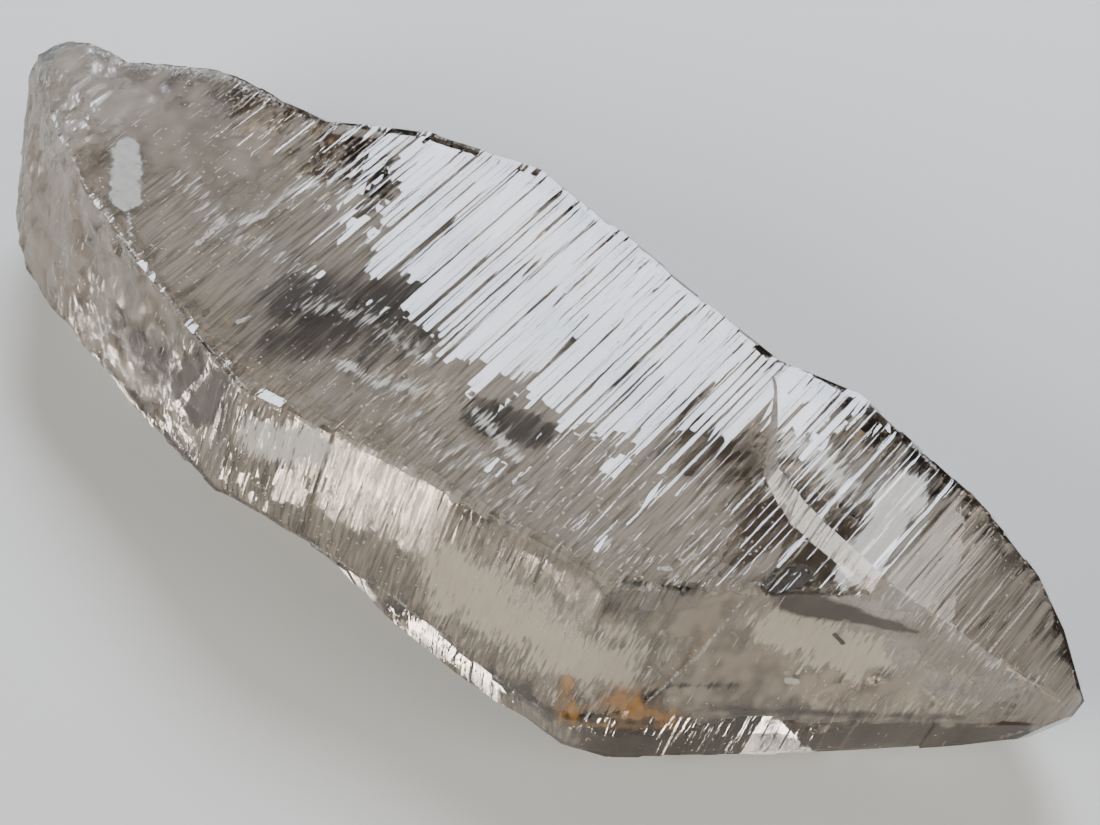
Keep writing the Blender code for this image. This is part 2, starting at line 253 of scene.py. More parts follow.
# %% Sections
BLOCK_RISE, BLOCK_START_X, BLOCK_FULL_X = 0.5, 20.0, 27.0
SHELF_DROP, SHELF_START_X, SHELF_FULL_X = 2.2, 24.0, 38.0
BLOCK_FOOT_Y = [(20, 29.5), (22.6, 27.7), (30.8, 14.8), (38.9, 11.2), (48.9, 11), (60, 10)]
BLOCK_BROW_Y = [(20, 30), (22.6, 28.4), (32, 16.5), (38.9, 14.2), (50.6, 13.2), (60, 12.4)]
SEGMENTS = {
    "right_strip": 3, "upper_right": 8, "top": 0, "upper_left": 24, "left_strip": 4,
    "lower_left": 5, "base": 5, "lower_right": 6,
}
BLOCK_TOP_SEGMENTS, SHELF_SEGMENTS = 15, 14
FOOT_SHARE, BROW_SHARE = 0.4, 0.6
LEAST_GAP = 0.3
ROOM_FOR_RELIEF = {"top": 0.3, "base": 0.0}
ROOM_ELSEWHERE = 0.15


def top_face_z(x):
    """Height of the top face over the block: the root droops and the tip falls away."""
    rise = BLOCK_RISE * smooth(BLOCK_START_X, BLOCK_FULL_X, x)
    fall = HEIGHT + BLOCK_RISE - RHOMB_FALL * (x - TOP_TURN_X)
    return min(along(TOP_Z, x) + rise, fall)


def shelf_z(x):
    """Height of the top face below the block's foot."""
    drop = SHELF_DROP * smooth(SHELF_START_X, SHELF_FULL_X, x)
    return min(along(TOP_Z, x) - drop, top_face_z(x))


def offset_through(angle, y, z):
    """Distance from the c-axis line to the side of this angle that passes through (y, z)."""
    turn = math.radians(angle)
    return y * math.cos(turn) + z * math.sin(turn)


def crossing(first, second):
    """Point (y, z) where two sides, each (angle, offset), meet."""
    (a, p), (b, q) = first, second
    a, b = math.radians(a), math.radians(b)
    spread = math.sin(b - a)
    y = (p * math.sin(b) - q * math.sin(a)) / spread
    z = (q * math.cos(a) - p * math.cos(b)) / spread
    return y, z


def upper_left_side(x):
    """The upper left prism face, and past its turn the big rhombohedral face."""
    angle = along(UPPER_LEFT_ANGLE, x)
    return angle, offset_through(angle, along(TOP_LEFT_Y, x), along(TOP_Z, x))


def side_through(start, end):
    """The side that runs from start to end, going round counter-clockwise."""
    angle = math.degrees(math.atan2(start[0] - end[0], end[1] - start[1]))
    return angle, offset_through(angle, *start)


def sides(x):
    """The eight sides at x by name, counter-clockwise seen from the tip, each (angle, offset)."""
    waist = crossing(upper_left_side(x), (ANGLES["base"], -along(WAIST_Z, x)))
    left_foot = along(LEFT_FOOT_Y, x), along(LEFT_FOOT_Z, x)
    right_foot = along(RIGHT_Y, x), along(RIGHT_FOOT_Z, x)
    through = {
        "right_strip": right_foot,
        "upper_right": (along(TOP_RIGHT_Y, x), top_face_z(x)),
        "top": (0.0, top_face_z(x)),
        "lower_left": left_foot,
        "base": (0.0, along(BASE_Z, x)),
        "lower_right": right_foot,
    }
    plain = {
        name: (ANGLES[name], offset_through(ANGLES[name], y, z)) for name, (y, z) in through.items()
    }
    plain["upper_left"] = upper_left_side(x)
    plain["left_strip"] = side_through(waist, left_foot)
    stepped = {}
    for name in SEGMENTS:
        angle, offset = plain[name]
        height = strong_ledges(name, x) + EDGE_LEDGE_SHARE.get(name, 1.0) * ledge(name, x)
        offset -= ROOM_FOR_RELIEF.get(name, ROOM_ELSEWHERE)
        stepped[name] = (angle, offset + height * rhomb_share(name, x, RHOMB_LEDGE_SHARE))
    return stepped


def between(start, end, count):
    """The first count points of the straight run from start to end, without its end."""
    return [tuple(a + (b - a) * k / count for a, b in zip(start, end)) for k in range(count)]


def top_outline(x, around):
    """The top of a section from right to left: top face, the block's brow and foot, and shelf."""
    high = around["top"][1]
    low = high - top_face_z(x) + shelf_z(x)
    left_side = around["upper_left"]
    right_y, right_z = crossing(around["upper_right"], (ANGLES["top"], high))
    left_y, left_z = crossing(left_side, (ANGLES["top"], low))
    if x < BLOCK_START_X:
        foot = left_y + FOOT_SHARE * (right_y - left_y)
        brow = left_y + BROW_SHARE * (right_y - left_y)
    else:
        foot, brow = along(BLOCK_FOOT_Y, x), along(BLOCK_BROW_Y, x)
    if left_y > foot and high > low + LEAST_GAP:
        left_y, left_z = crossing(side_through((brow, high), (foot, low)), left_side)
    if left_y > brow:
        left_y, left_z = crossing(left_side, (ANGLES["top"], high))
    brow_y = max(brow, left_y + 2 * LEAST_GAP)
    foot_y = max(foot, left_y + LEAST_GAP)
    foot_z = low if foot > left_y else left_z
    outline = between((right_y, right_z), (brow_y, high), BLOCK_TOP_SEGMENTS)
    outline.append((brow_y, high))
    outline += between((foot_y, foot_z), (left_y, left_z), SHELF_SEGMENTS)
    return outline, (left_y, left_z)


def section(x):
    """The section at x as (side name, share along the side, outward angle, y, z), in order."""
    around = sides(x)
    names = list(SEGMENTS)
    top_points, top_left = top_outline(x, around)
    starts = {
        name: crossing(around[before], around[name])
        for before, name in zip([names[-1]] + names, names)
    }
    starts["top"], starts["upper_left"] = top_points[0], top_left
    points = []
    for name, after in zip(names, names[1:] + names[:1]):
        run = between(starts[name], starts[after], SEGMENTS[name]) if SEGMENTS[name] else top_points
        turn = math.radians(around[name][0])
        points += [(name, k / len(run), turn, y, z) for k, (y, z) in enumerate(run)]
    return points


print(len(section(0.0)), "points round each section")

# %% [markdown]
# ## Striations
# Between the ledges a prism face is covered in hair-fine striations, parallel to the ledges, that
# fade in and out along their length. They are what breaks a reflection into streaks. A bump texture
# could draw them, but real treads also bend what is seen through the stone. Most are nearly level
# treads with a narrow riser between them, and every few there is a groove: a narrow tread that leans
# so far that it mirrors another part of the room, and so shows as a dark line in a bright reflection.
# Every tread wanders up and down along its length in its own way, and the grooves come and go with
# it, so that no line runs all the way across.

# %% Striations
STRIA_SEED = 5
STRIA_START_X, STRIA_END_X = -97.0, 84.0
STRIA_SHORTEST, STRIA_LONGEST = 0.3, 1.3
STRIA_RISER = 0.12
STRIA_TILT, STRIA_NARROW = 0.045, 0.4
GROOVE_CHANCE, GROOVE_WIDTH, GROOVE_TILT = 0.36, (0.12, 0.26), (0.14, 0.3)
GROOVE_PRESENCE, GROOVE_COMES_AND_GOES = 0.6, 1.8
STRIA_WANDER, STRIA_WANDER_LENGTH = 0.045, 11.0
STRIA_FINE_RATIO, STRIA_FINE_SHARE = 3.1, 0.4
TREADS_APART, TREADS_APART_FINE, SIDES_APART, FINE_APART = 5.17, 3.71, 3.3, 1.7
STRIA_ROOT_FADE, STRIA_SIDE_FADE = (-97.0, -80.0), 0.04
RHOMB_STRIA_SHARE = 0.2
STRIA_SHARE = {"upper_left": 0.9}
LEDGE_SHARE = {"top": 0.45, "upper_left": 0.2}
LEDGE_FADE_LENGTH, LEDGE_SIDE_FADE = 16.0, 0.03
LEDGE_PRESENCE, LEDGE_COMES_AND_GOES, LEDGE_MOST = 0.5, 1.5, 1.5
LEDGES_APART, LEDGE_NOISE_PLACE = 4.7, 1.9


def stria_treads():
    """The treads from the root to the tip, each (start, end, tilt)."""
    draw = random.Random(STRIA_SEED)
    x, treads = STRIA_START_X, []
    while x < STRIA_END_X:
        width = draw.uniform(STRIA_SHORTEST, STRIA_LONGEST)
        tilt = draw.uniform(-STRIA_TILT, STRIA_TILT) * min(1.0, STRIA_NARROW / width)
        if draw.random() < GROOVE_CHANCE:
            width = draw.uniform(*GROOVE_WIDTH)
            tilt = draw.choice((-1, 1)) * draw.uniform(*GROOVE_TILT)
        treads.append((x, x + width, tilt))
        x += width + STRIA_RISER
    return treads


TREADS = stria_treads()
TREAD_STARTS = [start for start, _, _ in TREADS]


def tread_height(k, x, t, order):
    """Height of tread k at x, at t mm along the stria. Each tread reads its own line of the noise."""
    start, end, tilt = TREADS[k]
    side = SIDES_APART * order
    wander = noise.noise(Vector((TREADS_APART * k, t / STRIA_WANDER_LENGTH, side)))
    fine_t = STRIA_FINE_RATIO * t / STRIA_WANDER_LENGTH
    fine = noise.noise(Vector((TREADS_APART_FINE * k, fine_t, side + FINE_APART)))
    lean = tilt * min(max(GROOVE_PRESENCE + GROOVE_COMES_AND_GOES * wander, 0.0), 1.0)
    return STRIA_WANDER * (wander + STRIA_FINE_SHARE * fine) + lean * (x - (start + end) / 2)


print(len(TREADS), "striations on each face")

# %% [markdown]
# ## Grown and broken relief
# Four things shape the faces besides the striations. The broad top face is never quite flat: slow
# waves of a few hundredths of a millimetre bend every reflection. The big rhombohedral face has a
# sunken, rippled field that ends at a curved growth step. Its corner by the tip carries a
# shell-shaped chip, with ripples round the point of the blow. And the root was broken off and then
# etched, so it is lumpy. All of them are heights along the face's own direction.

# %% Relief
FIELD_DEPTH, FIELD_STEP_X, FIELD_STEP_BOW, FIELD_STEP_WIDTH = 0.8, 41.2, 4.8, 2.0
FIELD_RAMP = 9.0
FIELD_RIPPLE, FIELD_RIPPLE_SIZE, RIPPLE_STRETCH = 0.16, 3.2, 0.3
RIPPLE_FINE_RATIO, RIPPLE_FINE_SHARE = 2.2, 0.5
WAVE_HEIGHT, WAVE_SIZE, WAVE_EDGE = 0.05, 15.0, 0.1
SHELL_CHIP_CENTRE, SHELL_CHIP_RADIUS = (80.0, 20.5, 26.0), 7.5
SHELL_CHIP_DEPTH, SHELL_RIPPLE, SHELL_RIPPLE_PITCH = 0.7, 0.16, 1.7
ROUGH_SIZE, ROUGH_DEPTH = 9.0, 1.5
ROUGH_OCTAVES = [(1.0, 1.0), (2.3, 0.5), (4.0, 0.5), (13.5, 0.15)]
FROST, FROST_FADE = 0.24, (-104.0, -72.0)
FROST_BLOTCH, BLOTCH_SIZE = 0.6, 2.5
ROUGH_ROOT = (1.0, -104.0, -84.0)
ROUGH_TOP = (0.7, -104.0, -84.0)
ROUGH_LEFT = (0.55, -58.0, -40.0)
ROUGH_RIGHT = (0.6, -70.0, -48.0)


def roughness(name, x):
    """Share of the broken-surface noise: all of it at the root, less along the side faces."""
    if name == "base":
        return 0.0
    zones = {
        "top": [ROUGH_TOP],
        "upper_left": [ROUGH_ROOT, ROUGH_LEFT],
        "left_strip": [ROUGH_ROOT, ROUGH_LEFT],
        "upper_right": [ROUGH_ROOT, ROUGH_RIGHT],
        "right_strip": [ROUGH_ROOT, ROUGH_RIGHT],
    }
    return max(share * (1 - smooth(x0, x1, x)) for share, x0, x1 in zones.get(name, [ROUGH_ROOT]))


def frost(place):
    """How matt the surface is, from the polished growth faces to the blotchy, etched root."""
    blotch = 1 + FROST_BLOTCH * noise.noise(place / BLOTCH_SIZE)
    return FROST * blotch * (1 - smooth(*FROST_FADE, place.x))


def field_height(x, share, place):
    """The sunken field on the big rhombohedral face, with its ripples, share down from the top."""
    if x <= LEFT_TURN_X:
        return 0.0
    step_x = FIELD_STEP_X - FIELD_STEP_BOW * share**2
    inside = smooth(LEFT_TURN_X, LEFT_TURN_X + FIELD_RAMP, x)
    inside *= 1 - smooth(step_x - FIELD_STEP_WIDTH, step_x, x)
    across_y, across_z = RIPPLE_STRETCH * place.y, RIPPLE_STRETCH * place.z
    stretched = Vector((place.x, across_y, across_z)) / FIELD_RIPPLE_SIZE
    ripple = noise.noise(stretched)
    ripple += RIPPLE_FINE_SHARE * noise.noise(stretched * RIPPLE_FINE_RATIO)
    return -inside * (FIELD_DEPTH - FIELD_RIPPLE * ripple)


def shell_chip_height(place):
    """The shell-shaped chip: a shallow bowl with ripples round its centre."""
    reach = (place - Vector(SHELL_CHIP_CENTRE)).length / SHELL_CHIP_RADIUS
    if reach >= 1:
        return 0.0
    ripple = SHELL_RIPPLE * math.sin(2 * math.pi * reach * SHELL_CHIP_RADIUS / SHELL_RIPPLE_PITCH)
    return -SHELL_CHIP_DEPTH * (1 - reach**2) + ripple * (1 - reach)


def stria_height(name, x, share, t):
    """The striations at one point, t mm along the stria, faded out near the face's edges."""
    if name not in LADDER_SIDES or not TREADS[0][0] <= x <= TREADS[-1][1]:
        return 0.0
    fade = smooth(0.0, STRIA_SIDE_FADE, share) * smooth(0.0, STRIA_SIDE_FADE, 1 - share)
    fade *= smooth(*STRIA_ROOT_FADE, x)
    fade *= rhomb_share(name, x, RHOMB_STRIA_SHARE)
    k = bisect.bisect_right(TREAD_STARTS, x) - 1
    order = LADDER_SIDES.index(name)
    height = tread_height(k, min(x, TREADS[k][1]), t, order)
    if x > TREADS[k][1] and k + 1 < len(TREADS):
        after = tread_height(k + 1, TREADS[k + 1][0], t, order)
        height += (after - height) * (x - TREADS[k][1]) / STRIA_RISER
    return STRIA_SHARE.get(name, 1.0) * fade * height


def ledge_fade(name, x, share, t):
    """What is taken off the ladder at one point, so that its ledges come and go along the face."""
    if name not in LEDGE_SHARE:
        return 0.0
    k = bisect.bisect_right(STARTS, x)
    along_it = noise.noise(Vector((LEDGES_APART * k, t / LEDGE_FADE_LENGTH, LEDGE_NOISE_PLACE)))
    here = LEDGE_PRESENCE + LEDGE_COMES_AND_GOES * along_it
    keep = LEDGE_SHARE[name] * min(max(here, 0.0), LEDGE_MOST)
    off = (keep - EDGE_LEDGE_SHARE[name]) * ledge(name, x) * rhomb_share(name, x, RHOMB_LEDGE_SHARE)
    return off * smooth(0.0, LEDGE_SIDE_FADE, share) * smooth(0.0, LEDGE_SIDE_FADE, 1 - share)


def ring(x):
    """The section at x with all its relief, as (point, how matt it is there)."""
    points = section(x)
    middle_y = sum(p[3] for p in points) / len(points)
    middle_z = sum(p[4] for p in points) / len(points)
    placed = []
    for name, share, turn, y, z in points:
        place = Vector((x, y, z))
        t = z * math.cos(turn) - y * math.sin(turn)
        height = stria_height(name, x, share, t) + ledge_fade(name, x, share, t)
        if name == "upper_left":
            height += field_height(x, share, place) + shell_chip_height(place)
        if name == "top":
            height += WAVE_HEIGHT * noise.noise(place / WAVE_SIZE) * smooth(0.0, WAVE_EDGE, share)
        y, z = y + height * math.cos(turn), z + height * math.sin(turn)
        rough = roughness(name, x)
        if rough > 0:
            lump = sum(deep * noise.noise(place * fine / ROUGH_SIZE) for fine, deep in ROUGH_OCTAVES)
            reach = math.hypot(y - middle_y, z - middle_z)
            push = 1 + rough * ROUGH_DEPTH * lump / max(reach, ROUGH_SIZE)
            y, z = middle_y + (y - middle_y) * push, max(middle_z + (z - middle_z) * push, 0.0)
        placed.append((Vector((x, y, z)), frost(place)))
    return placed


print("roughness of the surface at the root:", FROST, "and on the grown faces: 0")

# %% [markdown]
# ## The skin
# The rings are skinned with quads and both ends are closed, then the corners that were knocked off
# are cut with planes. The rings stand at both ends of every riser, because a ledge must stay a sharp
# edge, and a little over half a millimetre apart where the root is rough. Faces stay flat-shaded:
# each small plane of a crystal is a real mirror.

# %% The crystal's skin
ROOT_PITCH, TIP_PITCH = 0.6, 0.5
LEAST_RING_GAP = 0.06
CHIPS = {
    "tip_front": ((86.3, 25.0, 18.0), (0.80, -0.45, -0.10)),
    "tip_top": ((86.0, 28.5, 25.0), (0.85, -0.10, 0.52)),
    "tip_under": ((86.5, 28.0, 16.0), (0.70, 0.10, -0.70)),
    "root_end": ((-123.6, 0.0, 34.0), (-1.0, 0.15, 0.25)),
    "root_left": ((-116.5, -19.0, 30.0), (-0.75, -0.62, 0.20)),
    "root_right": ((-113.0, 12.0, 33.0), (-0.45, 0.80, 0.35)),
    "root_under": ((-112.0, 0.0, 9.0), (-0.62, 0.0, -0.78)),
}
LEAST_EDGE = 0.005


def ring_places():
    """Where the rings stand, along the c-axis."""
    places = {ROOT_X + k * ROOT_PITCH for k in range(int((STRIA_START_X - ROOT_X) / ROOT_PITCH))}
    places |= {STRIA_END_X + k * TIP_PITCH for k in range(int((TIP_X - STRIA_END_X) / TIP_PITCH))}
    places |= {x for tread in TREADS for x in tread[:2]} | {LEFT_TURN_X, TOP_TURN_X, TIP_X}
    risers = STARTS[1:] + [x for steps in STRONG_LEDGES.values() for x, _ in steps]
    for start in risers:
        places |= {start, start + RISER_RUN}
    kept = [ROOT_X]
    for x in sorted(p for p in places if p < TIP_X - LEAST_RING_GAP):
        if x - kept[-1] > LEAST_RING_GAP:
            kept.append(x)
    return kept + [TIP_X]


def chip(mesh, point, direction):
    """Cuts off what lies past a plane and closes the cut."""
    whole = mesh.verts[:] + mesh.edges[:] + mesh.faces[:]
    cut = bmesh.ops.bisect_plane(
        mesh, geom=whole, plane_co=Vector(point), plane_no=Vector(direction), clear_outer=True
    )
    rim = [g for g in cut["geom_cut"] if isinstance(g, bmesh.types.BMEdge)]
    bmesh.ops.contextual_create(mesh, geom=rim)


def to_frame(mesh, name, material):
    """Moves a mesh from crystal millimetres to the frame's metres, as an object on the root body."""
    bmesh.ops.translate(mesh, verts=mesh.verts, vec=(-BOX_CENTRE_X, -BOX_CENTRE_Y, 0.0))
    bmesh.ops.scale(mesh, verts=mesh.verts, vec=(MM, MM, MM))
    data = bpy.data.meshes.new(name)
    mesh.to_mesh(data)
    mesh.free()
    data.materials.append(material)
    made = bpy.data.objects.new(name, data)
    bpy.context.scene.collection.objects.link(made)
    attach(made, "root")
    return made


def crystal_skin():
    """The closed skin of the crystal, in millimetres."""
    mesh = bmesh.new()
    matt_layer = mesh.verts.layers.float.new("matt")
    rows = []
    for x in ring_places():
        row = []
        for place, matt in ring(x):
            vert = mesh.verts.new(place)
            vert[matt_layer] = matt
            row.append(vert)
        rows.append(row)
    count = len(rows[0])
    for row, after in zip(rows, rows[1:]):
        for i in range(count):
            j = (i + 1) % count
            mesh.faces.new((row[i], row[j], after[j], after[i]))
    mesh.faces.new(reversed(rows[0]))
    mesh.faces.new(rows[-1])
    for point, direction in CHIPS.values():
        chip(mesh, point, direction)
    bmesh.ops.remove_doubles(mesh, verts=mesh.verts, dist=LEAST_EDGE)
    bmesh.ops.dissolve_degenerate(mesh, edges=mesh.edges, dist=LEAST_EDGE)
    bmesh.ops.recalc_face_normals(mesh, faces=mesh.faces)
    print("skin:", len(rows), "rings,", sum(len(f.verts) - 2 for f in mesh.faces), "triangles")
    return mesh


skin = crystal_skin()
skin_tree = BVHTree.FromBMesh(skin)
PLAIN_PITCH, LEAST_NORMAL = 4, 0.5


def plain_faces():
    """The crystal's faces in large flat pieces, as a tree that tells which way is out."""
    places = range(int(ROOT_X), int(TIP_X) + 1, PLAIN_PITCH)
    points = [[Vector((x, y, z)) for _, _, _, y, z in section(x)] for x in places]
    count = len(points[0])
    quads = []
    for start in range(0, count * (len(points) - 1), count):
        for i in range(count):
            j = (i + 1) % count
            quads.append((start + i, start + j, start + count + j, start + count + i))
    return BVHTree.FromPolygons([point for row in points for point in row], quads)


plain_tree = plain_faces()


def way_out(place):
    """The even outward direction at a place: that of the whole face, not of one small riser."""
    _, normal, _, _ = plain_tree.find_nearest(place)
    nearest, own, _, _ = skin_tree.find_nearest(place)
    if normal.length < LEAST_NORMAL:
        return nearest, own
    return nearest, normal if normal.dot(own) > 0 else -normal


def depth_under_skin(place):
    """How far a point lies inside the crystal, negative outside."""
    nearest, normal, _, _ = skin_tree.find_nearest(place)
    return (nearest - place).dot(normal)


print("the middle lies", round(depth_under_skin(Vector((0, 0, 25))), 1), "mm deep")

# %% [markdown]
# ## Smoky quartz
# Quartz bends light with an index of 1.544. Its own surface is glass-smooth on the grown faces, and
# matt where the root was broken and etched. The smoky tint is in the body, not on the surface: it is
# absorbed light, so thick places are browner than thin ones. That is why a Volume Absorption shader
# carries the tint, and the base colour stays almost white and only wanders a little between growth
# zones. The vertex attribute "matt" carries the etched root's roughness.

# %% Smoky quartz
QUARTZ_IOR = 1.544
SMOKE_COLOUR = "#d0c5b6"
SMOKE_DENSITY = 33.0
GROWTH_ZONE_SIZE = 14.0


def smoky_quartz():
    """Grown smoky quartz: clear and polished on its faces, frosted by etching at the root."""
    made, tree = new_material("smoky_quartz_grown_faces")
    place = add_node(tree, "ShaderNodeTexCoord").outputs["Object"]
    matt = add_node(tree, "ShaderNodeAttribute", attribute_name="matt").outputs["Fac"]
    growth = add_node(
        tree, "ShaderNodeTexNoise", [("Scale", 1 / (GROWTH_ZONE_SIZE * MM)), ("Detail", 0.0)],
        [(place, "Vector")],
    )
    tint = two_tones(tree, growth.outputs["Fac"], ("#fefdfb", "#f8f4ee"))
    shader = add_node(
        tree, "ShaderNodeBsdfPrincipled", [("IOR", QUARTZ_IOR), ("Transmission Weight", 1.0)],
        [(tint, "Base Color"), (matt, "Roughness")],
    )
    smoke = add_node(
        tree, "ShaderNodeVolumeAbsorption",
        [("Color", linear(SMOKE_COLOUR)), ("Density", SMOKE_DENSITY)],
    )
    add_node(
        tree, "ShaderNodeOutputMaterial",
        links=[(shader.outputs["BSDF"], "Surface"), (smoke.outputs["Volume"], "Volume")],
    )
    return made


crystal = to_frame(skin, "quartz_crystal_skin", smoky_quartz())
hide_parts("quartz_crystal")
print(crystal.name, "has", len(crystal.data.polygons), "faces")

# %% [markdown]
# ## What is inside
# A natural crystal is never empty. Cracks that healed while it grew left films of tiny fluid-filled
# flakes, milky zones mark pauses in its growth, and dark smoke gathers in patches. A scattering
# volume could fill the stone with mist, but it renders slowly and with much grain. All of these are
# thin, so each is built as a film: a ribbon of small faces that follows a path under the skin at an
# even depth. A vertex attribute says how dense it is, full along the path and nothing at its borders,
# and its material breaks it up into streaks. The skin's own tree of faces gives the depth, so no film
# comes out through the surface. A film is written as its path in millimetres, then its width, its
# depth, the share of it that fades at the edge, how full it is and, where it narrows, its taper.

# %% Films inside the crystal
FILM_CELLS_ACROSS, FILM_LEAST_CELLS, FILM_CELL_RANGE = 12, 3, (0.2, 1.4)
FILM_MARGIN = 0.08
FILM_BEND, FILM_BEND_LENGTH = 0.35, 7.0
OUTLINE_SIZE, OUTLINE_WOBBLE, WOBBLE_FROM_WIDTH = 4.0, 0.28, 14.0
OUTLINE_FINE_RATIO, OUTLINE_FINE_SHARE = 3, 0.6
FILM_SPAN = 1.4
FILM_ONSET = 0.6
FILM_LEAST_COVER = 0.08


def film_point(place, depth):
    """The point this deep under the nearest place of the skin."""
    nearest, normal = way_out(place)
    bend = 1 + FILM_BEND * noise.noise(place / FILM_BEND_LENGTH)
    return nearest - normal * max(depth * bend, 2 * FILM_MARGIN)


def path_point(path, s):
    """The point s mm along a path of straight runs, and the run's direction."""
    for start, end in zip(path, path[1:]):
        run = (end - start).length
        if s <= run or end is path[-1]:
            direction = (end - start) / run
            return start + direction * s, direction
        s -= run


def add_film(mesh, corners, width, depth, edge, fill, taper=0.0):
    """Adds a film along a path: width and depth in mm, the share of fading edge, how full it is, and
    how much narrower it gets towards the path's end."""
    cover_layer = mesh.verts.layers.float["cover"]
    path = [Vector(corner if len(corner) == 3 else (*corner, HEIGHT)) for corner in corners]
    length = sum((b - a).length for a, b in zip(path, path[1:]))
    cell = min(max(width / FILM_CELLS_ACROSS, FILM_CELL_RANGE[0]), FILM_CELL_RANGE[1])
    half, span = width / 2, width * FILM_SPAN
    across_count = max(int(span / cell), FILM_LEAST_CELLS)
    along_count = int((length + span) / cell)
    rows = []
    for i in range(along_count + 1):
        s = -span / 2 + (length + span) * i / along_count
        middle, direction = path_point(path, s)
        across = way_out(middle)[1].cross(direction).normalized()
        past_end = max(-s, s - length, 0.0)
        row = []
        for j in range(across_count + 1):
            v = span * (j / across_count - 0.5)
            place = film_point(middle + across * v, depth)
            wobble = noise.noise(place / OUTLINE_SIZE)
            wobble += OUTLINE_FINE_SHARE * noise.noise(place * OUTLINE_FINE_RATIO / OUTLINE_SIZE)
            reach = math.hypot(past_end, v) / (half * (1 - taper * min(max(s / length, 0.0), 1.0)))
            reach += OUTLINE_WOBBLE * min(width / WOBBLE_FROM_WIDTH, 1.0) * wobble
            cover = fill * min(max((1 - reach) / edge, 0.0), 1.0)
            row.append((place, cover if depth_under_skin(place) > FILM_MARGIN else -1.0))
        rows.append(row)
    made = {}
    for i in range(along_count):
        for j in range(across_count):
            keys = [(i, j), (i + 1, j), (i + 1, j + 1), (i, j + 1)]
            covers = [rows[a][b][1] for a, b in keys]
            if min(covers) < 0 or max(covers) < FILM_LEAST_COVER:
                continue
            for key in keys:
                if key not in made:
                    made[key] = mesh.verts.new(rows[key[0]][key[1]][0])
                    made[key][cover_layer] = rows[key[0]][key[1]][1]
            mesh.faces.new([made[key] for key in keys])


def films(name, material, sheets):
    """Adds one piece made of several films."""
    mesh = bmesh.new()
    mesh.verts.layers.float.new("cover")
    for sheet in sheets:
        add_film(mesh, *sheet)
    print(name, "has", len(mesh.faces), "faces in", len(sheets), "films")
    to_frame(mesh, name, material)


def film_material(name, colours, grain_mm, opacity, roughness, breaks, stretch):
    """A thin film in the quartz, broken up by noise: stretch gives the streaks their direction, and
    high breaks leave fibres where low ones leave an even fog."""
    made, tree = new_material(name)
    place = add_node(tree, "ShaderNodeTexCoord").outputs["Object"]
    stretched = add_node(
        tree, "ShaderNodeMapping", [("Scale", [s / (grain_mm * MM) for s in stretch])],
        [(place, "Vector")],
    )
    grain = add_node(
        tree, "ShaderNodeTexNoise", [("Scale", 1.0), ("Detail", 1.0), ("Roughness", 0.65)],
        [(stretched.outputs["Vector"], "Vector")],
    )
    cover = add_node(tree, "ShaderNodeAttribute", attribute_name="cover").outputs["Fac"]
    broken = add_node(
        tree, "ShaderNodeMath", [(1, breaks)], [(grain.outputs["Fac"], 0), (cover, 2)],
        operation="MULTIPLY_ADD",
    )
    least = (1 + breaks) / 2
    alpha = add_node(
        tree, "ShaderNodeMapRange",
        [("From Min", least), ("From Max", least + FILM_ONSET), ("To Max", opacity)],
        [(broken.outputs["Value"], "Value")],
    )
    tint = two_tones(tree, grain.outputs["Fac"], colours)
    shader = add_node(
        tree, "ShaderNodeBsdfPrincipled", [("Roughness", roughness), ("IOR", QUARTZ_IOR)],
        [(tint, "Base Color"), (alpha.outputs["Result"], "Alpha")],
    )
    add_node(tree, "ShaderNodeOutputMaterial", links=[(shader.outputs["BSDF"], "Surface")])
    return made


# %% [markdown]
# ## Haze
# The body of the crystal is not quite clear: films of fine bubbles too small to see one by one dim
# it, as breath dims a window. They follow the growth striations, so the haze is finely lined under
# the top and the sides. At the tip it is in coarser clouds. At the broken root, where etching opened
# the surface, it is thick, even and softly clouded.

# %% Haze
haze = film_material("bubble_haze", ("#8f867a", "#dad2c5"), 0.55, 0.8, 0.7, 1.2, (1, 0.06, 0.06))
films("haze", haze, [
    ([(-70, -8), (42, -8)], 56, 1.8, 0.45, 1.1),
    ([(-62, 24), (50, 24)], 28, 2.4, 0.7, 1.0),
    ([(58, 20, 46), (82, 24, 27)], 40, 0.9, 0.5, 1.0),
])
side_haze = film_material("side_haze", ("#92877a", "#dccfbc"), 0.6, 0.8, 0.7, 1.1, (1, 0.08, 0.08))
films("side_haze", side_haze, [
    ([(-60, -32, 38), (27, -22, 34)], 44, 1.4, 0.5, 0.95),
    ([(-60, -36, 20), (28, -29, 14)], 14, 0.6, 0.6, 0.95),
    ([(-60, 36, 34), (54, 38, 34)], 24, 1.4, 0.8, 0.8),
])
tip_haze = film_material("tip_haze", ("#988b7c", "#eaddca"), 3.0, 0.76, 0.7, 1.4, (1, 0.5, 0.5))
films("tip_haze", tip_haze, [
    ([(28, -20, 32), (42, -10, 32)], 34, 1.4, 0.6, 1.0),
    ([(44, -6, 35), (80, 20, 26)], 44, 1.1, 0.5, 1.0),
])
root_haze = film_material("etched_root_haze", ("#92867c", "#cdc2b6"), 5.0, 0.8, 0.8, 1.2, (1, 0.8, 0.8))
films("root_haze", root_haze, [
    ([(-112, -2, 44), (-74, -2)], 44, 1.2, 0.8, 1.0),
    ([(-116, -14, 30), (-66, -30, 36)], 44, 1.0, 0.6, 1.2),
])
